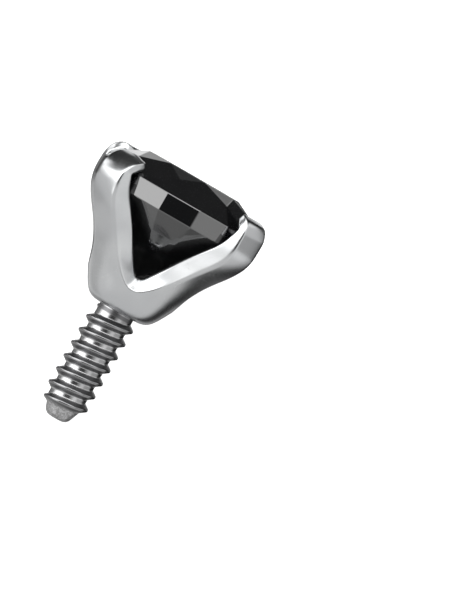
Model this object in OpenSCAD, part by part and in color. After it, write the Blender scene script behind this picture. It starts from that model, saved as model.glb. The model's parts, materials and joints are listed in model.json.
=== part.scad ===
// Dermal anchor top: a round black stone in a four-prong head on a threaded post.
// Each piece is drawn upright about its own axis, with the head's underside at height 0.
// lie_down() then lays all three on their side, as the loose piece rests by itself.

/* [Stone] */
// Diameter across the corners of the girdle
stone_d = 4.4; // [3:0.05:6]
// Diameter of the table, across its corners
table_d = 2.54; // [1.6:0.02:3.4]
// Height of the crown, from girdle to table
crown_h = 0.64; // [0.3:0.02:0.9]
// Height of the upright facets round the girdle
girdle_h = 0.46; // [0.1:0.02:0.6]
// Depth of the pavilion, from girdle to point
pavilion_h = 1.7; // [1.2:0.05:1.9]
// How far the stone is turned in its seat, in degrees
stone_turn = 11; // [0:1:44]

/* [Setting] */
// Height of the girdle's lower edge above the head's underside
seat_z = 2.66; // [2.5:0.01:3.2]
// Height of the prong tips above the head's underside
head_h = 3.66; // [3.6:0.01:4.2]
// Radius of the flat underside
base_r = 0.62; // [0.56:0.01:0.7]
// Radius where the rounded underside meets the cup
foot_r = 1.08; // [0.9:0.01:1.2]
// Height of the rounded underside
foot_h = 0.45; // [0.35:0.01:0.6]
// Radius of the cup where it starts to flare into the prongs
flare_r = 2.06; // [1.9:0.01:2.2]
// Height where the cup starts to flare into the prongs
flare_z = 1.77; // [1.6:0.01:1.9]
// Thickness of the cup's wall, measured level
wall = 0.55; // [0.4:0.01:0.6]
// Height of the cup's floor
floor_z = 0.85; // [0.75:0.01:0.95]
// Width of the slope where the cup's wall meets its floor
floor_round = 0.1; // [0.06:0.01:0.16]

/* [Prongs] */
// Largest distance of a prong from the axis
prong_r = 2.72; // [2.6:0.01:3]
// Height of that widest place
prong_z = 2.85; // [2.75:0.01:3]
// Width of a prong
prong_w = 0.78; // [0.5:0.01:0.9]
// How far each prong tip reaches in over the stone's edge
tip_reach = 0.25; // [0.1:0.01:0.35]
// How much of the stone's edge rests on the seat
seat_ledge = 0.15; // [0.08:0.01:0.2]
// Size of the sloped corners at the inner end of each prong tip
tip_round = 0.11; // [0.06:0.01:0.15]

/* [Windows] */
// Height of a window's lowest point where it opens inside the cup
window_z = 1; // [0.9:0.01:1.2]
// Distance from the axis of that point
window_r = 0.75; // [0.7:0.01:0.9]
// Slope of a window's sill, in degrees, falling outward
sill_slope = 38; // [20:1:45]
// Height where a window's sides turn upright
window_shoulder_z = 1.5; // [1.4:0.05:2.6]
// Width of the sill as a share of the window's width
sill_share = 0.3; // [0.2:0.05:0.8]

/* [Threaded post] */
// Diameter over the thread
thread_d = 1.2; // [1.1:0.01:1.3]
// Diameter at the root of the thread
root_d = 0.92; // [0.8:0.01:0.98]
// Rise of the thread in one turn
pitch = 0.365; // [0.3:0.005:0.45]
// Length of the post below the head
post_l = 3; // [2.4:0.05:4]
// How far under the head the thread starts
neck_l = 0.06; // [0.05:0.01:0.4]
// Length of the tapered end
taper_l = 0.45; // [0.3:0.01:0.7]
// Diameter of the flat at the very end
end_d = 0.54; // [0.3:0.01:0.7]
// Width of the thread's crest
crest_w = 0.05; // [0.03:0.005:0.08]
// Width of the flat between two turns
root_w = 0.06; // [0.04:0.005:0.1]
// Length of the post's plain top inside the head
shank_l = 0.57; // [0.4:0.01:0.6]

/* [Fit] */
// Gap between the stone and the metal
stone_gap = 0.03; // [0.02:0.005:0.05]
// Gap between the post and its hole in the head
hole_gap = 0.02; // [0.01:0.005:0.03]

/* [Hidden] */
$fn = 96;

prongs = 4;
// How far each cut runs on past the metal
cut_past = 0.6;
// Half the width of a window at its end near the axis
least_half = 0.01;
stone_r = stone_d / 2;
table_r = table_d / 2;
girdle_top_z = seat_z + girdle_h;
table_z = girdle_top_z + crown_h;
culet_z = seat_z - pavilion_h;
// Facets in one ring of the stone's crown, and corners round its girdle
mains = 8;
girdle_corners = 2 * mains;
// Half the angle between two main facets
half_main = 180 / mains;
// Share of the crown that the star facets take
star_share = 0.5;
// Share of the pavilion that the lower girdle facets take
lower_share = 0.78;
// Corners where the star facets end, and where the lower girdle facets end
star_r = table_r + star_share * (stone_r - table_r);
lower_r = (1 - lower_share) * stone_r;
star_z = table_z - crown_h * (star_r * cos(half_main) - table_r) / (stone_r - table_r);
lower_z = culet_z + pavilion_h * lower_r * cos(half_main) / stone_r;
// Steepest slopes of the crown and pavilion, which the metal follows
crown_slope = (star_z - girdle_top_z) / (stone_r - star_r);
pavilion_slope = pavilion_h / stone_r;

thread_r = thread_d / 2;
root_r = root_d / 2;
// Steps in one turn of the thread
thread_steps = 24;
// The ridge starts this far inside the post, and ends outside the thread's diameter to be trimmed
ridge_sink = 0.02;
ridge_out_r = thread_r / cos(180 / thread_steps) + 0.005;
// Turns that the thread takes to rise out of the post and to sink into the taper
run_in = 0.35;
run_out = 0.5;
thread_top_z = -neck_l;
thread_end_z = 0.55 * taper_l - post_l;
thread_turns = (thread_top_z - thread_end_z) / pitch;
// Where the thread crosses the plane of the front window, in turns
thread_phase = 0.18;

// A point of a cubic curve from a to d with handles b and c
function curve(a, b, c, d, t) =
    pow(1 - t, 3) * a + 3 * t * pow(1 - t, 2) * b + 3 * t * t * (1 - t) * c + pow(t, 3) * d;
function curve_points(a, b, c, d, steps) = [for (i = [1:steps]) curve(a, b, c, d, i / steps)];

// A point partway from a to b, as shares of the run and the rise between them
function between(a, b, run, rise) = [a[0] + run * (b[0] - a[0]), a[1] + rise * (b[1] - a[1])];

// The head's outer outline from its underside to the top of a prong, as [radius, height]
base = [base_r, 0];
foot = [foot_r, foot_h];
flare = [flare_r, flare_z];
widest = [prong_r, prong_z];
tip_top = [stone_r - tip_reach + tip_round, head_h];
outer_line = concat(
    [base],
    curve_points(base, between(base, foot, 0.48, 0), between(base, foot, 0.72, 0.45), foot, 5),
    curve_points(foot, between(foot, flare, 0.24, 0.34), between(foot, flare, 0.58, 0.72), flare, 7),
    curve_points(flare, between(flare, widest, 0.66, 0.4), between(flare, widest, 1, 0.58), widest, 7),
    curve_points(widest, between(widest, tip_top, 0, 0.62), between(widest, tip_top, 0.48, 1), tip_top, 8)
);

// The cup's inner outline from the seat down to the floor, the same distance inside the outer one
ledge_r = stone_r - seat_ledge;
ledge_z = seat_z - seat_ledge * pavilion_slope - stone_gap;
cup_line = [for (p = outer_line) if (p[1] > floor_z + floor_round / 2 && p[1] < ledge_z - floor_round / 2)
    [min(p[0] - wall, ledge_r), p[1]]];
tip_r = stone_r - tip_reach;
tip_z = girdle_top_z + crown_slope * (tip_reach + stone_gap) + stone_gap;
inner_line = concat(
    [[tip_r, tip_z + tip_round], [tip_r, tip_z]],
    [[stone_r + stone_gap, girdle_top_z + stone_gap], [stone_r + stone_gap, seat_z - stone_gap]],
    [[ledge_r, ledge_z]],
    [for (i = [len(cup_line) - 1:-1:0]) cup_line[i]],
    [[cup_line[0][0] - floor_round, floor_z], [0, floor_z]]
);

// How far down the laid part reaches at an outline point, measured from the axis toward the floor
function reach(p) = (sqrt(p[0] * p[0] - prong_w * prong_w / 4) + prong_w / 2) * sin(180 / prongs);
// The part lies on two prongs and on the last full crest of its thread
last_crest_z = post_l - taper_l - pitch / 2 + crest_w / 2;
rest_tilt = max([for (p = outer_line) if (p[1] > flare_z)
    atan((reach(p) - thread_r) / (last_crest_z + p[1]))]);
rest_lift = thread_r * cos(rest_tilt) + last_crest_z * sin(rest_tilt);
rest_front = max([for (p = outer_line) if (p[1] > flare_z)
    p[1] * cos(rest_tilt) + reach(p) * sin(rest_tilt)]);
rest_back = post_l * cos(rest_tilt) + end_d / 2 * sin(rest_tilt);

// Lays an upright piece on its side, centred over the origin, with the post toward -Y
module lie_down() {
    translate([0, (rest_back - rest_front) / 2, rest_lift])
        rotate([rest_tilt - 90, 0, 0])
            children();
}

// A window's outline at a distance from the axis, as [across, height], widening outward
function window_outline(n) =
    let (
        half = n - prong_w / sqrt(2),
        sill = half * sill_share,
        low = window_z - (n - window_r) * tan(sill_slope)
    ) [[-sill, low], [sill, low], [half, window_shoulder_z], [half, head_h + cut_past],
        [-half, head_h + cut_past], [-half, window_shoulder_z]];

// The space that one window takes, from near the axis out through the wall
module window_space() {
    near = prong_w / sqrt(2) + least_half;
    far = prong_r + cut_past;
    corners = 6;
    polyhedron(
        points = concat(
            [for (p = window_outline(near)) [p[0], -near, p[1]]],
            [for (p = window_outline(far)) [p[0], -far, p[1]]]),
        faces = concat(
            [[for (i = [0:corners - 1]) i]],
            [[for (i = [0:corners - 1]) 2 * corners - 1 - i]],
            [for (i = [0:corners - 1])
                let (j = (i + 1) % corners) [j, i, corners + i]],
            [for (i = [0:corners - 1])
                let (j = (i + 1) % corners) [j, corners + i, corners + j]]));
}

// Four-prong head: a cup whose wall is cut by four windows into prongs that hook over the stone
module setting() {
    color("silver")
        lie_down()
            difference() {
                rotate_extrude()
                    polygon(concat([[0, 0]], outer_line, inner_line));
                for (i = [0:prongs - 1])
                    rotate([0, 0, i * 360 / prongs])
                        window_space();
                translate([0, 0, -cut_past])
                    cylinder(r = root_r + hole_gap, h = cut_past + shank_l + hole_gap);
            }
}

// A ring of corners of the stone, as [x, y, z]
function stone_ring(r, z, count, start) =
    [for (i = [0:count - 1]) [r * cos(start + i * 360 / count), r * sin(start + i * 360 / count), z]];

// Round brilliant: table, stars, kites, upper girdle facets, upright girdle, pavilion
module stone() {
    table_at = 0;
    star_at = table_at + mains;
    top_at = star_at + mains;
    low_at = top_at + girdle_corners;
    lower_at = low_at + girdle_corners;
    culet_at = lower_at + mains;
    color([0.04, 0.04, 0.05])
        lie_down()
            rotate([0, 0, stone_turn])
                polyhedron(
                    points = concat(
                        stone_ring(table_r, table_z, mains, 0),
                        stone_ring(star_r, star_z, mains, half_main),
                        stone_ring(stone_r, girdle_top_z, girdle_corners, 0),
                        stone_ring(stone_r, seat_z, girdle_corners, 0),
                        stone_ring(lower_r, lower_z, mains, half_main),
                        [[0, 0, culet_z]]),
                    faces = concat(
                        [[for (i = [0:mains - 1]) mains - 1 - i]],
                        [for (i = [0:mains - 1])
                            let (j = (i + 1) % mains) [i, j, star_at + i]],
                        [for (i = [0:mains - 1])
                            let (j = (i + mains - 1) % mains)
                                [i, star_at + i, top_at + 2 * i, star_at + j]],
                        [for (i = [0:mains - 1]) [star_at + i, top_at + 2 * i + 1, top_at + 2 * i]],
                        [for (i = [0:mains - 1])
                            let (j = (2 * i + 2) % girdle_corners)
                                [star_at + i, top_at + j, top_at + 2 * i + 1]],
                        [for (i = [0:girdle_corners - 1])
                            let (j = (i + 1) % girdle_corners)
                                [top_at + i, top_at + j, low_at + j, low_at + i]],
                        [for (i = [0:mains - 1]) [low_at + 2 * i, low_at + 2 * i + 1, lower_at + i]],
                        [for (i = [0:mains - 1])
                            let (j = (2 * i + 2) % girdle_corners)
                                [low_at + 2 * i + 1, low_at + j, lower_at + i]],
                        [for (i = [0:mains - 1])
                            let (j = (i + mains - 1) % mains)
                                [low_at + 2 * i, lower_at + i, culet_at, lower_at + j]]));
}

// How far the ridge stands out at a number of turns from its start, as a share of its full height
function ridge_share(turn) = min(1, turn / run_in, (thread_turns - turn) / run_out);

// Radius of the post without its thread at a height
function core_r(z) = min(root_r, end_d / 2 + (root_r - end_d / 2) * (z + post_l) / taper_l);

// The ridge of the thread, a right-hand helix of one section swept down the post
module thread_ridge() {
    steps = round(thread_turns * thread_steps);
    half_base = (pitch - root_w) / 2;
    // The flanks carry on past the root and past the crest
    flank = (half_base - crest_w / 2) / (thread_r - root_r);
    half_in = half_base + flank * ridge_sink;
    half_out = crest_w / 2 - flank * (ridge_out_r - thread_r);
    polyhedron(
        points = [for (k = [0:steps])
            let (
                turn = k / thread_steps,
                angle = -360 * (turn + thread_phase) - 90,
                z = thread_top_z - pitch * turn,
                in_r = core_r(z - half_in) - ridge_sink,
                least_r = in_r + ridge_sink / 2,
                out_r = least_r + ridge_share(turn) * (ridge_out_r - least_r)
            )
            for (q = [[in_r, half_in], [out_r, half_out], [out_r, -half_out], [in_r, -half_in]])
                [q[0] * cos(angle), q[0] * sin(angle), z + q[1]]],
        faces = concat(
            [[3, 2, 1, 0]],
            [[4 * steps, 4 * steps + 1, 4 * steps + 2, 4 * steps + 3]],
            [for (k = [0:steps - 1]) for (i = [0:3])
                let (a = 4 * k + i, b = 4 * k + (i + 1) % 4) [a, b, b + 4, a + 4]]));
}

// Threaded post: a darker screw whose plain top end sits in the head's blind hole
module threaded_post() {
    color("dimgray")
        lie_down() {
            translate([0, 0, taper_l - post_l])
                cylinder(r = root_r, h = post_l - taper_l + shank_l);
            translate([0, 0, -post_l])
                cylinder(r1 = end_d / 2, r2 = root_r, h = taper_l);
            intersection() {
                thread_ridge();
                translate([0, 0, -post_l])
                    cylinder(r = thread_r, h = post_l);
            }
        }
}

setting();
stone();
threaded_post();
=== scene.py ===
import json
import math

import bmesh
import bpy
from mathutils import Matrix, Vector, geometry


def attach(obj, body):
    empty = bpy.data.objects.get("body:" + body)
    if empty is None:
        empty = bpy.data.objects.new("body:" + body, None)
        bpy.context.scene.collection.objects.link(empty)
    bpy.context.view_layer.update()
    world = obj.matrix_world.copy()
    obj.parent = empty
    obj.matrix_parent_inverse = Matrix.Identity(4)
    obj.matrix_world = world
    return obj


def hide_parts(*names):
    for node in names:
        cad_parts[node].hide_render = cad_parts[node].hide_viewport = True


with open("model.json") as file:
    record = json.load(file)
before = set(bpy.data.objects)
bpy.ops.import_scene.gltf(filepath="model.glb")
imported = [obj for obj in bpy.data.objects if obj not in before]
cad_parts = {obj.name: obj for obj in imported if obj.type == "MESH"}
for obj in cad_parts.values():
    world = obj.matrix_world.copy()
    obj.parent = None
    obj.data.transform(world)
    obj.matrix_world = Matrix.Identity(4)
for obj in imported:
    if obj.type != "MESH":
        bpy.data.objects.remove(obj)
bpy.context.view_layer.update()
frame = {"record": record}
scene = bpy.context.scene
bpy.ops.object.select_all(action="DESELECT")


# How the loose piece lies: on two prongs and the thread, with its head a little higher than its tip.
# Every piece is drawn upright in millimetres, with the head's underside at height 0, then laid down.
MM = 0.001
thread_mount = next(mount for mount in frame["record"]["mounts"] if mount["name"] == "thread")
post_dir = Vector(thread_mount["axis"]).normalized()
UNDERSIDE_ABOVE_MOUNT = 1.44 * MM
underside = Vector(thread_mount["pos_m"]) - UNDERSIDE_ABOVE_MOUNT * post_dir
rest_tilt = math.asin(-post_dir.z)
lying = Matrix.Translation(underside) @ Matrix.Rotation(rest_tilt - math.pi / 2, 4, "X")


def lie_down(piece, turn=0.0):
    """Turns an upright piece about its own axis, lays it down and fixes its place in its mesh."""
    bpy.ops.object.select_all(action="DESELECT")
    piece.select_set(True)
    bpy.context.view_layer.objects.active = piece
    piece.matrix_world = lying @ Matrix.Rotation(turn, 4, "Z") @ Matrix.Scale(MM, 4)
    bpy.ops.object.transform_apply(location=True, rotation=True, scale=True)


# Camera: almost straight down on one window of the head, turned a little to one prong.
# The post leans to the lower left of the picture, and the right half of the picture stays empty.
TURN_TO_PRONG = math.radians(3.5)
ABOVE_WINDOW = math.radians(1.2)
LEAN = math.radians(30.0)
PIXEL = MM / 41.3
PICTURE = (471, 600)
UNDERSIDE_PIXEL = (117.0, 311.0)
CAMERA_DISTANCE = 150 * MM
FILM_WIDTH_MM = 36

upright_dir = Vector((
    -math.sin(TURN_TO_PRONG), -math.cos(TURN_TO_PRONG), math.tan(ABOVE_WINDOW))).normalized()
view_dir = (lying.to_3x3() @ upright_dir).normalized()
axis_seen = (-post_dir - view_dir * -post_dir.dot(view_dir)).normalized()
across_seen = axis_seen.cross(view_dir)
view_up = math.cos(LEAN) * axis_seen - math.sin(LEAN) * across_seen
view_right = math.cos(LEAN) * across_seen + math.sin(LEAN) * axis_seen

looked_at = (underside + view_right * (PICTURE[0] / 2 - UNDERSIDE_PIXEL[0]) * PIXEL
             - view_up * (PICTURE[1] / 2 - UNDERSIDE_PIXEL[1]) * PIXEL)
bpy.ops.object.camera_add()
camera = bpy.context.object
camera.name = "camera"
camera.matrix_world = Matrix.Translation(looked_at + view_dir * CAMERA_DISTANCE) @ Matrix(
    (view_right, view_up, view_dir)).transposed().to_4x4()
camera.data.sensor_fit = "HORIZONTAL"
camera.data.sensor_width = FILM_WIDTH_MM
camera.data.lens = FILM_WIDTH_MM * CAMERA_DISTANCE / (PICTURE[0] * PIXEL)
camera.data.clip_start = 0.005
camera.data.clip_end = 2
scene.camera = camera


# Head: one piece of polished cast steel, a small cup that opens into four prongs.
# Each window between two prongs has a bevelled edge, and each prong's tip hooks over the stone.
# One quarter is drawn, from window to window, and three copies of it close the ring.
FLAT_R = 0.62
WIDEST_Z = 2.85
CURVE_STEPS = 24
outline = []
for start, first, second, end in (
        ((FLAT_R, 0.0), (0.84, 0.0), (0.951, 0.203), (1.08, 0.45)),
        ((1.08, 0.45), (1.315, 0.899), (1.648, 1.40), (2.06, 1.77)),
        ((2.06, 1.77), (2.496, 2.202), (2.72, 2.396), (2.72, 2.85)),
        ((2.72, 2.85), (2.72, 3.352), (2.403, 3.66), (2.06, 3.66))):
    outline += [point[:2] for point in geometry.interpolate_bezier(
        (*start, 0), (*first, 0), (*second, 0), (*end, 0), CURVE_STEPS)]


def outer_r(height):
    """Radius of the head's outer face at a height, or at its nearer end for one beyond it."""
    for (r0, z0), (r1, z1) in zip(outline, outline[1:]):
        if z0 <= height <= z1 and z1 > z0:
            return r0 + (r1 - r0) * (height - z0) / (z1 - z0)
    return outline[-1][0] if height > 1 else outline[0][0]


PRONG_HALF = 0.39
BEVEL_SLOPE = math.tan(math.radians(22))
# At the foot of a window, where the bevel is steepest, it goes inwards by this share of its rise
FOOT_SLOPE = 0.55
# The cup is drawn a little large, because smoothing pulls a coarse ring inwards
SWELL = 1.0115
# Where the outer face has its points, as shares of the way from a prong's middle to its edge: first
# in the cup, where they are even, then in the prong, where they gather at the edge
FACE_POINTS = ((1 / 3, 0.40), (2 / 3, 0.74), (1, 1))
# How far above the cup they are gathered in full
GATHERED_ABOVE = 0.9
# Rows of the cup, from the underside to just under a window: outer height in the prong's middle and
# at the window's middle, then the inner wall's radius and height
CUP_ROWS = (
    (0.0, 0.0, 0.10, 0.85),
    (0.036, 0.036, 0.35, 0.85),
    (0.132, 0.132, 0.53, 0.855),
    (0.275, 0.275, 0.64, 0.87),
    (0.45, 0.43, 0.72, 0.90),
    (0.62, 0.56, 0.77, 0.94),
)
# Rows along a window's edge: outer height in the prong's middle, then across and height of the outer
# edge, across and height of the inner edge, and the inner wall's radius and height. With None for its
# across, the outer edge lies half a prong's width from the prong's middle
WINDOW_ROWS = (
    (0.72, 0.0, 0.625, 0.0, 0.97, 0.80, 0.98),
    (0.86, 0.15, 0.655, 0.09, 0.985, 0.83, 1.03),
    (1.04, 0.38, 0.82, 0.19, 1.09, 0.90, 1.15),
    (1.24, 0.64, 1.07, 0.32, 1.28, 1.00, 1.32),
    (1.48, 0.86, 1.38, 0.46, 1.50, 1.15, 1.53),
    (1.72, None, 1.66, 0.60, 1.73, 1.36, 1.75),
    (1.96, None, 1.92, 0.745, 1.96, 1.58, 1.97),
    (2.18, None, 2.15, 0.90, 2.18, 1.80, 2.18),
    (2.40, None, 2.38, 1.06, 2.40, 1.99, 2.39),
    (2.60, None, 2.59, 1.20, 2.60, 2.06, 2.56),
    (2.79, None, 2.79, 1.305, 2.79, 2.215, 2.68),
    (2.97, None, 2.97, 1.36, 2.97, 2.235, 2.82),
    (3.14, None, 3.14, 1.39, 3.13, 2.235, 3.02),
    (3.30, None, 3.30, 1.39, 3.26, 2.22, 3.16),
)
# Rows of the hook: radius, height and half width of its top, distance from the axis, half width and
# height of its lower edge, and the inner wall's radius and height
HOOK_ROWS = (
    (2.50, 3.455, 0.39, 2.30, 0.44, 3.35, 2.15, 3.25),
    (2.38, 3.56, 0.385, 2.20, 0.41, 3.42, 2.07, 3.315),
    (2.24, 3.63, 0.37, 2.09, 0.385, 3.48, 2.00, 3.37),
    (2.10, 3.658, 0.34, 2.00, 0.35, 3.52, 1.96, 3.42),
)


def on_cup(radius, angle, height):
    """A point at an angle from the window's middle, which faces +Y."""
    return Vector((radius * math.sin(angle), radius * math.cos(angle), height))


def section(middle_z, middle_r, outer_edge, inner_edge, inner_r, inner_z, gathered, hooked=False):
    """One closed section of a quarter of the head, for the prong at 45 degrees.

    Its points gather at the edge as gathered goes from 0 to 1, and a hooked one leaves the outline.
    """
    middle = math.pi / 4
    edge_angle = math.atan2(outer_edge.x, outer_edge.y)
    swell = SWELL + (1 - SWELL) * gathered
    half = []
    for in_cup, in_prong in FACE_POINTS:
        share = in_cup + (in_prong - in_cup) * gathered
        height = middle_z + (outer_edge.z - middle_z) * share ** 2
        radius = outer_r(height)
        if hooked:
            radius = middle_r + (outer_edge.xy.length - middle_r) * share ** 2
        half.append(on_cup(radius * swell, middle + (edge_angle - middle) * share, height))
    # The inner wall stops just short of the prong's middle
    across = min(inner_edge.x, inner_r * math.sin(middle) * 0.98)
    inner_wall = Vector((across, math.sqrt(inner_r ** 2 - across ** 2), inner_z))
    # Points close to a bevel's two edges keep these crisp when the head is smoothed
    half += [outer_edge.lerp(inner_edge, 0.26), outer_edge.lerp(inner_edge, 0.8), inner_edge,
             inner_edge.lerp(inner_wall, 0.35), inner_wall]
    wall_angle = (math.atan2(inner_wall.x, inner_wall.y) + middle) / 2
    half.append(on_cup(inner_r, wall_angle, inner_z))
    mirrored = [Vector((point.y, point.x, point.z)) for point in reversed(half)]
    return ([on_cup(middle_r * swell, middle, middle_z)] + half
            + [on_cup(inner_r, middle, inner_z)] + mirrored)


# Below the windows there is no inner edge, and its point lies at this share of the wall
IN_WALL = 0.7
sections = []
for middle_z, window_z, inner_r, inner_z in CUP_ROWS:
    outer_edge = Vector((0, outer_r(window_z), window_z))
    inner_edge = outer_edge.lerp(Vector((0, inner_r, inner_z)), IN_WALL)
    sections.append(section(
        middle_z, outer_r(middle_z), outer_edge, inner_edge, inner_r, inner_z, gathered=0))
for middle_z, across, edge_z, inner_across, inner_edge_z, inner_r, inner_z in WINDOW_ROWS:
    radius = outer_r(edge_z)
    if across is None:
        across = (math.sqrt(radius ** 2 - PRONG_HALF ** 2) - PRONG_HALF) / math.sqrt(2)
    outer_edge = Vector((across, math.sqrt(radius ** 2 - across ** 2), edge_z))
    drop = max((across - inner_across) * BEVEL_SLOPE, (inner_edge_z - edge_z) * FOOT_SLOPE)
    inner_edge = Vector((inner_across, outer_edge.y - drop, inner_edge_z))
    gathered = min((middle_z - CUP_ROWS[-1][0]) / GATHERED_ABOVE, 1)
    sections.append(section(
        middle_z, outer_r(middle_z), outer_edge, inner_edge, inner_r, inner_z, gathered))
for top_r, top_z, top_half, low_r, low_half, low_z, inner_r, inner_z in HOOK_ROWS:
    flat = math.sqrt(top_r ** 2 - top_half ** 2)
    outer_edge = Vector((flat - top_half, flat + top_half, 0)) / math.sqrt(2) + Vector((0, 0, top_z))
    inner_edge = Vector((low_r - low_half, low_r + low_half, 0)) / math.sqrt(2) + Vector((0, 0, low_z))
    sections.append(section(
        top_z, top_r, outer_edge, inner_edge, inner_r, inner_z, gathered=1, hooked=True))
# The tip's end is a smaller copy of the last section, set a little further on
END_SIZE = 0.6
END_SHIFT = Vector((-0.04, -0.04, -0.008))
centre = sum(sections[-1], Vector()) / len(sections[-1])
sections.append([centre + (point - centre) * END_SIZE + END_SHIFT for point in sections[-1]])

bpy.ops.mesh.primitive_circle_add(vertices=len(sections[0]), radius=1)
head = bpy.context.object
head.name = "polished_head"
bpy.ops.object.mode_set(mode="EDIT")
head_mesh = bmesh.from_edit_mesh(head.data)
head_mesh.verts.ensure_lookup_table()
ring = list(head_mesh.verts)
for vertex, place in zip(ring, sections[0]):
    vertex.co = place
for places in sections[1:]:
    before = [vertex.co.copy() for vertex in ring]
    bpy.ops.mesh.extrude_edges_move()
    head_mesh = bmesh.from_edit_mesh(head.data)
    new = [vertex for vertex in head_mesh.verts if vertex.select]
    ring = [min(new, key=lambda vertex: (vertex.co - co).length) for co in before]
    for vertex, place in zip(ring, places):
        vertex.co = place
bpy.ops.mesh.edge_face_add()


def pick(mesh, wanted, kind="verts"):
    """Selects only the vertices, edges or faces that are wanted."""
    bpy.ops.mesh.select_all(action="DESELECT")
    for item in getattr(mesh, kind):
        if wanted(item):
            item.select_set(True)
    mesh.select_flush_mode()


# The faces on the quarter's two sides go, so that the copies join into one wall
bpy.ops.mesh.select_mode(type="FACE")
pick(head_mesh, lambda face: all(abs(v.co.x) < 1e-4 for v in face.verts)
     or all(abs(v.co.y) < 1e-4 for v in face.verts), "faces")
bpy.ops.mesh.delete(type="FACE")
bpy.ops.mesh.select_mode(type="VERT")
bpy.ops.mesh.select_all(action="SELECT")
bpy.ops.mesh.delete_loose()
bpy.ops.mesh.select_all(action="SELECT")
bpy.ops.mesh.spin(steps=3, dupli=True, angle=math.radians(270), center=(0, 0, 0), axis=(0, 0, 1))
bpy.ops.mesh.select_all(action="SELECT")
bpy.ops.mesh.remove_doubles(threshold=0.001)

# The cup's floor is closed, and the underside is drawn in to the hole that holds the post
head_mesh = bmesh.from_edit_mesh(head.data)
pick(head_mesh, lambda v: v.is_boundary and v.co.z > 0.5)
bpy.ops.mesh.edge_face_add()
pick(head_mesh, lambda v: v.is_boundary and v.co.z < 0.01)
HOLE_R = 0.48 * SWELL
HOLE_EDGE = 0.02
HOLE_Z = 0.55
r_from = FLAT_R * SWELL
for r_to, rise in ((0.60, 0), (HOLE_R + HOLE_EDGE, 0), (HOLE_R, HOLE_EDGE),
                   (HOLE_R, HOLE_Z - HOLE_EDGE), (0.4, 0)):
    bpy.ops.mesh.extrude_edges_move()
    bpy.ops.transform.resize(value=(r_to / r_from, r_to / r_from, 1), center_override=(0, 0, 0))
    bpy.ops.transform.translate(value=(0, 0, rise))
    r_from = r_to
bpy.ops.mesh.edge_face_add()

# Each prong is pressed down by hand, the front left and back right ones first, so they end lower.
# The front right one ends between these and the back left one, which keeps its full height
LOW_SHARE = 0.86
LESS_LOW_SHARE = 0.93
pick(head_mesh, lambda v: v.co.z > WIDEST_Z and v.co.x * v.co.y > 0)
bpy.ops.transform.resize(value=(1, 1, LOW_SHARE), center_override=(0, 0, WIDEST_Z))
pick(head_mesh, lambda v: v.co.z > WIDEST_Z and v.co.x > 0 > v.co.y)
bpy.ops.transform.resize(value=(1, 1, LESS_LOW_SHARE), center_override=(0, 0, WIDEST_Z))
# The front left one is also bent down at its side next to the front window, step by step
HOOK_LOW_Z = 3.05
SIDE_STEPS = (0.1, 0.3, 0.5)
SIDE_BEND = (-0.008, -0.008, -0.035)
for step in SIDE_STEPS:
    pick(head_mesh, lambda v: v.co.z > HOOK_LOW_Z and v.co.x < 0 and v.co.y < v.co.x - step)
    bpy.ops.transform.translate(value=SIDE_BEND)
# The back left and front right ones reach in less: their hooks lean outwards more at each height
LEAN_HEIGHTS = (HOOK_LOW_Z, 3.18, 3.33, 3.44)
BACK_LEFT, FRONT_RIGHT = -1, 1
for side, shift in ((BACK_LEFT, 0.018), (FRONT_RIGHT, 0.03)):
    for from_z in LEAN_HEIGHTS:
        pick(head_mesh, lambda v: v.co.z > from_z and v.co.x * side > 0 > v.co.y * side)
        bpy.ops.transform.translate(value=(shift * side, -shift * side, 0))
# The front right one's tip is the bluntest
TIP_LOW_Z = 3.12
TIP_OUTER_R = 2.36
TIP_BACK = (0.04, -0.04, 0)
pick(head_mesh, lambda v: v.co.z > TIP_LOW_Z and v.co.x > 0 > v.co.y and v.co.xy.length < TIP_OUTER_R)
bpy.ops.transform.translate(value=TIP_BACK)

bpy.ops.mesh.select_all(action="SELECT")
bpy.ops.mesh.normals_make_consistent(inside=False)
bpy.ops.object.mode_set(mode="OBJECT")
rounding = head.modifiers.new("rounding", "SUBSURF")
rounding.levels = rounding.render_levels = 2
bpy.ops.object.modifier_apply(modifier=rounding.name)
bpy.ops.object.shade_smooth()
lie_down(head)


class Value:
    """A shader socket that takes part in sums and products, each of which adds its Math node."""

    def __init__(self, finish, socket):
        self.finish = finish
        self.socket = socket

    def math(self, operation, other):
        return self.finish.node("ShaderNodeMath", {"operation": operation}, (self, other))

    def __add__(self, other):
        return self.math("ADD", other)

    __radd__ = __add__

    def __mul__(self, other):
        return self.math("MULTIPLY", other)

    __rmul__ = __mul__

    def __rsub__(self, other):
        return self.finish.node("ShaderNodeMath", {"operation": "SUBTRACT"}, (other, self))

    def ramp(self, start, end):
        """Eases from 0 to 1 as this value goes from start to end, either way."""
        return self.finish.node("ShaderNodeMapRange", {"interpolation_type": "SMOOTHSTEP"}, {
            "Value": self, "From Min": start, "From Max": end})


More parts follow.
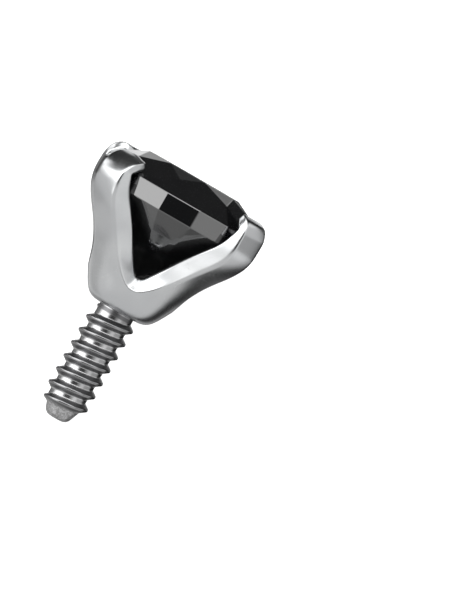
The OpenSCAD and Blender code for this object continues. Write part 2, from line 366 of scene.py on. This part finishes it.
class Finish:
    """The nodes of one finish, or of the studio's light."""

    def __init__(self, tree):
        self.tree = tree

    def node(self, kind, settings=None, sockets=(), output=0):
        """Adds a node: its settings first, then the values or links of its sockets."""
        node = self.tree.nodes.new(kind)
        for name, value in (settings or {}).items():
            setattr(node, name, value)
        pairs = sockets.items() if isinstance(sockets, dict) else enumerate(sockets)
        for name, value in pairs:
            if isinstance(value, Value):
                self.tree.links.new(value.socket, node.inputs[name])
            else:
                node.inputs[name].default_value = value
        return Value(self, node.outputs[output])

    def object_place(self):
        return self.node("ShaderNodeTexCoord", output="Object")

    def vector(self, operation, *vectors, output="Vector"):
        return self.node("ShaderNodeVectorMath", {"operation": operation}, vectors, output)

    def noise(self, place, scale, detail=2.0, roughness=0.5):
        return self.node("ShaderNodeTexNoise", {}, {
            "Vector": place, "Scale": scale, "Detail": detail, "Roughness": roughness})

    def tint(self, factor, first, second):
        """Goes from the first colour to the second as the factor goes from 0 to 1."""
        first, second = (
            colour if isinstance(colour, Value) else (*colour, 1) for colour in (first, second))
        return self.node("ShaderNodeMix", {"data_type": "RGBA"}, {0: factor, 6: first, 7: second}, 2)

    def bump(self, height, distance, strength):
        return self.node("ShaderNodeBump", {}, {
            "Height": height, "Distance": distance, "Strength": strength}, "Normal")


def new_finish(name):
    """A new material, its nodes, and its surface shader's sockets."""
    material = bpy.data.materials.new(name)
    material.use_nodes = True
    surface = material.node_tree.nodes["Principled BSDF"]
    return material, Finish(material.node_tree), surface


def join(surface, name, value):
    """Links a value to one of a shader's sockets."""
    value.finish.tree.links.new(value.socket, surface.inputs[name])


# Polished steel with the faint waves and fine scratches of hand polishing
polished, nodes, surface = new_finish("polished_steel")
place = nodes.object_place()
waves = nodes.noise(place, 700, 2)
scratches = nodes.noise(nodes.node("ShaderNodeMapping", {}, {
    "Vector": place, "Rotation": (0.4, 0.2, 0.7), "Scale": (1, 14, 14)}), 2500, 3)
join(surface, "Base Color", nodes.tint(waves.ramp(0.35, 0.65), (0.57, 0.58, 0.59), (0.64, 0.65, 0.655)))
join(surface, "Roughness", 0.19 + 0.05 * waves + 0.06 * scratches.ramp(0.45, 0.75))
join(surface, "Normal", nodes.bump(0.7 * waves + 0.3 * scratches, 0.004 * MM, 0.35))
surface.inputs["Metallic"].default_value = 1
head.data.materials.append(polished)

# Painted shade: the cup's inside is coloured dark, standing in for the shade in its hollow, and is
# rougher than the rest
SHADE_FROM = 0.8 * MM
SHADE_TO = 2.9 * MM
CUP_FLOOR_R = 0.75 * MM
cup_shade_steel, nodes, surface = new_finish("steel_as_cast")
grain = nodes.noise(nodes.object_place(), 3000, 3)
join(surface, "Base Color", nodes.tint(grain, (0.20, 0.20, 0.20), (0.30, 0.30, 0.30)))
join(surface, "Roughness", 0.4 + 0.2 * grain)
surface.inputs["Metallic"].default_value = 1
head.data.materials.append(cup_shade_steel)
to_axis = -post_dir
for face in head.data.polygons:
    from_axis = face.center - underside
    height = from_axis.dot(to_axis)
    from_axis -= height * to_axis
    faces_in = face.normal.dot(from_axis.normalized())
    # Faces inside the cup, between these heights, get the painted shade
    if SHADE_FROM < height < SHADE_TO and (faces_in < -0.1 or from_axis.length < CUP_FLOOR_R):
        face.material_index = 1
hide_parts("setting")
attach(head, "root")


# Stone: a round black brilliant, cut facet by facet from a sixteen-sided blank.
# It has a deep band of upright facets round its widest part, which the prongs grip.
STONE_SIDES = 16
STONE_R = 2.2
TABLE_R = 1.27
TABLE_Z = 3.76
BAND_TOP_Z = 3.12
BAND_LOW_Z = 2.66
POINT_Z = 0.96
SIDE_ANGLE = 2 * math.pi / STONE_SIDES
# A star's outer corner lies in the planes of two kites, and a lower corner in those of two mains
STAR_R = (STONE_R + TABLE_R) / 2
STAR_SHARE = (STAR_R * math.cos(SIDE_ANGLE) - TABLE_R) / (STONE_R - TABLE_R)
STAR_Z = TABLE_Z - (TABLE_Z - BAND_TOP_Z) * STAR_SHARE
LOWER_R = 0.22 * STONE_R
LOWER_Z = POINT_Z + (BAND_LOW_Z - POINT_Z) * LOWER_R * math.cos(SIDE_ANGLE) / STONE_R
STONE_TURN = math.radians(11)
EDGE_WIDTH = 0.012

bpy.ops.mesh.primitive_cylinder_add(vertices=STONE_SIDES, radius=STONE_R, depth=TABLE_Z - POINT_Z,
                                    location=(0, 0, (TABLE_Z + POINT_Z) / 2))
stone = bpy.context.object
stone.name = "black_stone"
bpy.ops.object.transform_apply(location=True)
bpy.ops.object.mode_set(mode="EDIT")


def corner(radius, sides, height):
    """A corner of the stone, a number of the blank's sides round from the first."""
    angle = sides * SIDE_ANGLE
    return Vector((radius * math.cos(angle), radius * math.sin(angle), height))


def cut_facet(first, second, third):
    """Grinds the stone down to the plane through three corners."""
    outward = (second - first).cross(third - first).normalized()
    if outward.dot(first - Vector((0, 0, BAND_LOW_Z))) < 0:
        outward.negate()
    bpy.ops.mesh.select_all(action="SELECT")
    bpy.ops.mesh.bisect(plane_co=first, plane_no=outward, use_fill=True, clear_outer=True, threshold=1e-5)


for k in range(0, STONE_SIDES, 2):
    # A kite and a pavilion main, then a pair of facets above and below the band, then a star
    cut_facet(corner(TABLE_R, k, TABLE_Z), corner(STAR_R, k + 1, STAR_Z), corner(STONE_R, k, BAND_TOP_Z))
    cut_facet(corner(STONE_R, k, BAND_LOW_Z), corner(LOWER_R, k + 1, LOWER_Z), Vector((0, 0, POINT_Z)))
    for side in (-1, 1):
        cut_facet(corner(STAR_R, k + 1, STAR_Z), corner(STONE_R, k + 1, BAND_TOP_Z),
                  corner(STONE_R, k + 1 + side, BAND_TOP_Z))
        cut_facet(corner(LOWER_R, k + 1, LOWER_Z), corner(STONE_R, k + 1, BAND_LOW_Z),
                  corner(STONE_R, k + 1 + side, BAND_LOW_Z))
    cut_facet(corner(TABLE_R, k, TABLE_Z), corner(TABLE_R, k + 2, TABLE_Z), corner(STAR_R, k + 1, STAR_Z))
bpy.ops.mesh.select_all(action="SELECT")
bpy.ops.mesh.remove_doubles(threshold=0.002)
bpy.ops.mesh.normals_make_consistent(inside=False)
bpy.ops.mesh.bevel(offset=EDGE_WIDTH, segments=1, affect="EDGES", clamp_overlap=True)
bpy.ops.object.mode_set(mode="OBJECT")
bpy.ops.object.shade_flat()
lie_down(stone, STONE_TURN)

# Opaque black with a hard bright polish
black, nodes, surface = new_finish("black_stone")
haze = nodes.noise(nodes.object_place(), 900, 3)
join(surface, "Base Color", nodes.tint(haze, (0.002, 0.002, 0.0025), (0.006, 0.0065, 0.007)))
join(surface, "Roughness", 0.03 + 0.04 * haze)
surface.inputs["IOR"].default_value = 2.4
stone.data.materials.append(black)
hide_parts("stone")
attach(stone, "root")


# Post: a rolled steel screw, darker than the head, whose plain top is fixed in the head's hole.
# Its outline is spun round its axis, then the thread is pressed out of it as a right-hand helix.
SHANK_Z = 0.57
ROOT_R = 0.46
TAPER_Z = -2.55
TIP_Z = -3.0
END_R = 0.29
ROUND_R = 0.14
CREST_R = 0.6
PITCH = 0.365
THREAD_TOP_Z = -0.06
THREAD_END_Z = -2.7525
# Where the thread's crest starts round the post, and how it rises and fades, all in turns
START_TURN = 0.43
RUN_IN = 0.35
RUN_OUT = 0.5
# Half the thread's width at its crest and at its foot, and how high it stands on the tapered tip
CREST_HALF = 0.025
FOOT_HALF = 0.125
TIP_STAND = 0.05
# How far a flank runs along the post for each step outwards
FLANK_RUN = (FOOT_HALF - CREST_HALF) / (CREST_R - ROOT_R)
ROWS = 260
SIDES = 96

# A row just below the shank's top keeps its edge crisp
EDGE_ROW = 0.03
heights = [SHANK_Z, SHANK_Z - EDGE_ROW, 0.0] + [k * TIP_Z / ROWS for k in range(1, ROWS + 1)]
bpy.ops.mesh.primitive_plane_add(size=0.1, location=(0, 0, SHANK_Z))
post = bpy.context.object
post.name = "threaded_screw"
bpy.ops.object.transform_apply(location=True)
bpy.ops.object.mode_set(mode="EDIT")
bpy.ops.mesh.merge(type="CENTER")
bpy.ops.mesh.extrude_region_move(TRANSFORM_OT_translate={"value": (ROOT_R, 0, 0)})
for upper, lower in zip(heights, heights[1:]):
    bpy.ops.mesh.extrude_region_move(TRANSFORM_OT_translate={"value": (0, 0, lower - upper)})
bpy.ops.mesh.extrude_region_move(TRANSFORM_OT_translate={"value": (-ROOT_R, 0, 0)})
bpy.ops.mesh.select_all(action="SELECT")
bpy.ops.mesh.spin(steps=SIDES, angle=2 * math.pi, center=(0, 0, 0), axis=(0, 0, 1))
bpy.ops.mesh.select_all(action="SELECT")
bpy.ops.mesh.remove_doubles(threshold=0.0005)
bpy.ops.mesh.normals_make_consistent(inside=False)


def core_r(height):
    """Radius of the post without its thread, tapered and rounded at the tip."""
    share = min((height - TIP_Z) / (TAPER_Z - TIP_Z), 1)
    past = min(max(0, TIP_Z + ROUND_R - height), ROUND_R)
    return END_R + (ROOT_R - END_R) * share - ROUND_R + math.sqrt(ROUND_R ** 2 - past ** 2)


post_mesh = bmesh.from_edit_mesh(post.data)
for vertex in post_mesh.verts:
    x, y, z = vertex.co
    if math.hypot(x, y) < ROOT_R / 2 or z > 0:
        continue
    # How many turns along the thread the nearest crest is, and how far from it the vertex lies
    round_from = math.atan2(y, x) / (2 * math.pi) + START_TURN
    along = (THREAD_TOP_Z - z) / PITCH
    crest = round(along + round_from) - round_from
    off = abs(along - crest) * PITCH
    turns_left = (THREAD_TOP_Z - THREAD_END_Z) / PITCH - crest
    share = max(0, min(1, crest / RUN_IN, turns_left / RUN_OUT))
    full_r = min(CREST_R, END_R + (CREST_R - END_R) * (z - TIP_Z) / (TAPER_Z - TIP_Z) + TIP_STAND)
    core = core_r(z)
    stand = max(0, (full_r - core) * share - max(0, off - CREST_HALF) / FLANK_RUN)
    vertex.co.xy = vertex.co.xy.normalized() * (core + stand)
bpy.ops.object.mode_set(mode="OBJECT")
softening = post.modifiers.new("softening", "SMOOTH")
softening.factor = 0.5
softening.iterations = 4
bpy.ops.object.modifier_apply(modifier=softening.name)
bpy.ops.object.shade_smooth()
lie_down(post)

# Dark rolled steel. The thread's flanks and crest, and a ring under the head, are painted darker than its
# root as painted shade, and the cut tip is rough
dark, nodes, surface = new_finish("dark_steel")
place = nodes.object_place()
grain = nodes.noise(place, 2600, 4, 0.6)
crumbs = nodes.noise(place, 14000, 2, 0.7)
patches = nodes.noise(place, 800, 2)
from_underside = nodes.vector("SUBTRACT", place, tuple(underside))
down_post = nodes.vector("DOT_PRODUCT", from_underside, tuple(post_dir), output="Value")
aside = nodes.vector("CROSS_PRODUCT", from_underside, tuple(post_dir))
from_axis = nodes.vector("LENGTH", aside, output="Value")
at_tip = down_post.ramp(2.6 * MM, 2.7 * MM)
# Painted shade: a dark ring under the head, and darker flanks and crest on the thread
neck_shade_ring = down_post.ramp(0.01 * MM, 0.04 * MM) * down_post.ramp(0.15 * MM, 0.11 * MM)
flank_and_neck_shade = from_axis.ramp(0.47 * MM, 0.50 * MM) * from_axis.ramp(0.59 * MM, 0.57 * MM) * (1 - at_tip)
flank_and_neck_shade = flank_and_neck_shade.math("MAXIMUM", neck_shade_ring)
crest_shade = from_axis.ramp(0.56 * MM, 0.58 * MM)
tone = nodes.tint(patches.ramp(0.35, 0.65), (0.46, 0.46, 0.465), (0.60, 0.60, 0.605))
# The painted shade: the crest a little darker, the flanks and the ring under the head darkest
tone = nodes.tint(crest_shade, tone, (0.31, 0.31, 0.315))
tone = nodes.tint(flank_and_neck_shade, tone, (0.19, 0.19, 0.195))
join(surface, "Base Color", nodes.tint(at_tip * crumbs.ramp(0.4, 0.6), tone, (0.33, 0.33, 0.33)))
join(surface, "Roughness", 0.16 + 0.12 * grain + 0.15 * flank_and_neck_shade + 0.25 * at_tip)
join(surface, "Normal", nodes.bump(0.3 * grain + 1.4 * at_tip * crumbs, 0.01 * MM, 0.5))
surface.inputs["Metallic"].default_value = 1
post.data.materials.append(dark)
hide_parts("threaded_post")
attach(post, "root")


# Studio: the piece lies on a white light table inside a pale tent, and no lamp shines on it. Its
# surfaces mirror the tent's bright panels and dark gaps, which are drawn by the direction of a ray.
bpy.ops.mesh.primitive_plane_add(size=0.6)
table = bpy.context.object
table.name = "light_table"
white, nodes, surface = new_finish("white_table")
surface.inputs["Base Color"].default_value = (0.9, 0.9, 0.9, 1)
surface.inputs["Roughness"].default_value = 0.9
surface.inputs["Emission Color"].default_value = (1, 1, 1, 1)
surface.inputs["Emission Strength"].default_value = 0.7
table.data.materials.append(white)
# Mirrored rays pass through the table and see the tent's lower half, which has gaps of its own
table.visible_glossy = False

world = bpy.data.worlds.new("tent")
scene.world = world
world.use_nodes = True
nodes = Finish(world.node_tree)
background = world.node_tree.nodes["Background"]
background.inputs["Color"].default_value = (1, 1, 1, 1)
towards = nodes.node("ShaderNodeTexCoord", output="Generated")


def facing(direction):
    """How far a ray of the tent points in a direction, from -1 to 1."""
    return nodes.vector("DOT_PRODUCT", towards, tuple(direction), output="Value")


# As the picture shows them: to its right, to its top and out of it, then across and along the piece
rightwards, upwards, outwards = facing(view_right), facing(view_up), facing(view_dir)
crosswise, lengthwise = facing(across_seen), facing(axis_seen)
down = 0 - outwards
# What lies square to the piece's length, where the screw's round parts mirror it
level = lengthwise.ramp(-0.2, -0.12) * lengthwise.ramp(0.2, 0.12)

# Bright panels above the head and to its left, the second one dimmer near its middle
TENT = 0.75
PANEL = 1.4
top_panel = upwards.ramp(0.15, 0.4) * rightwards.ramp(-0.93, -0.82)
dim_above = 0.3 * lengthwise.ramp(-0.25, -0.05)
dim_below = lengthwise.ramp(-0.04, -0.28) * (0.35 + 0.3 * lengthwise.ramp(-0.55, -0.4))
left_panel = ((outwards + 0.2 * level).ramp(0.18, 0.3) * crosswise.ramp(-0.42, -0.52)
              * lengthwise.ramp(-0.78, -0.62) * lengthwise.ramp(0.5, 0.35)
              * (1 - dim_above) * (1 - dim_below))
# Faint glows: at the right, at the lower right in front of the piece, and low beside it
right_glow = rightwards.ramp(0.3, 0.6) * outwards.ramp(0.4, 0.6)
front_glow = (outwards.ramp(0.25, 0.4) * crosswise.ramp(0.5, 0.65)
              * lengthwise.ramp(-0.78, -0.66) * lengthwise.ramp(-0.28, -0.4))
low_glow = crosswise.ramp(0.86, 0.94) * outwards.ramp(-0.35, -0.15) * lengthwise.ramp(-0.08, -0.2)
light = (TENT + PANEL * top_panel + PANEL * left_panel
         + 0.2 * right_glow + 0.16 * front_glow + 0.25 * low_glow)

# The gap for the camera, mirrored as a dark streak in the screw, which fades to the right in two steps
fading = 0.5 * crosswise.ramp(0.58, 0.45) + 0.5 * crosswise.ramp(0.3, 0.24)
camera_gap = (fading * outwards.ramp(0.6, 0.8) * crosswise.ramp(-0.52, -0.36)
              * lengthwise.ramp(-0.35, -0.22) * lengthwise.ramp(0.32, 0.2))
# Dark beyond the head's far side, which the stone's crown mirrors, but for two pale patches
pale_patches = 0.03 + 0.31 * crosswise.ramp(-0.07, -0.13) + 0.17 * crosswise.ramp(0.05, 0.12)
pale = pale_patches * down.ramp(0.64, 0.69) * crosswise.ramp(-0.3, -0.22) * crosswise.ramp(0.27, 0.24)
far_side = (down.ramp(-0.35, -0.15) * upwards.ramp(0.25, 0.42) * (1 - pale)
            * (rightwards + 0.2 * down.ramp(0.1, 0)).ramp(-0.64, -0.52))
right_end = down.ramp(0.35, 0.55) * lengthwise.ramp(0.25, 0.33) * crosswise.ramp(0.24, 0.28)
# Dark under the near side, and dimmer below the foot, the left side and the lower half
lower_right = facing((0.6 * view_right - 0.8 * view_up).normalized())
near_side = down.ramp(0.25, 0.5) * lower_right.ramp(0.4, 0.75)
under_foot = down.ramp(0.05, 0.2) * lengthwise.ramp(-0.8, -0.95) * crosswise.ramp(-0.35, -0.15)
left_side = down.ramp(0.15, 0.35) * crosswise.ramp(-0.45, -0.6)
lower_half = down.ramp(0.25, 0.55) * upwards.ramp(0.1, -0.3) * crosswise.ramp(-0.5, -0.3)
# The screw's two edges are dark, and its right half is a little dimmer
screw_edges = level * (0.85 * crosswise.ramp(-0.1, 0.1) * down.ramp(0.2, 0.4)
                       + 0.8 * crosswise.ramp(0.1, -0.1) * down.ramp(0.05, 0.25))
screw_right = level * crosswise.ramp(0.7, 0.85) * outwards.ramp(0.58, 0.48)
for darkness in (0.97 * camera_gap, 0.98 * far_side, 0.98 * right_end, 0.96 * near_side,
                 0.42 * under_foot, 0.25 * left_side, 0.5 * lower_half,
                 screw_edges, 0.4 * screw_right):
    light = light * (1 - darkness)
join(background, "Strength", light)

scene.view_settings.view_transform = "Standard"
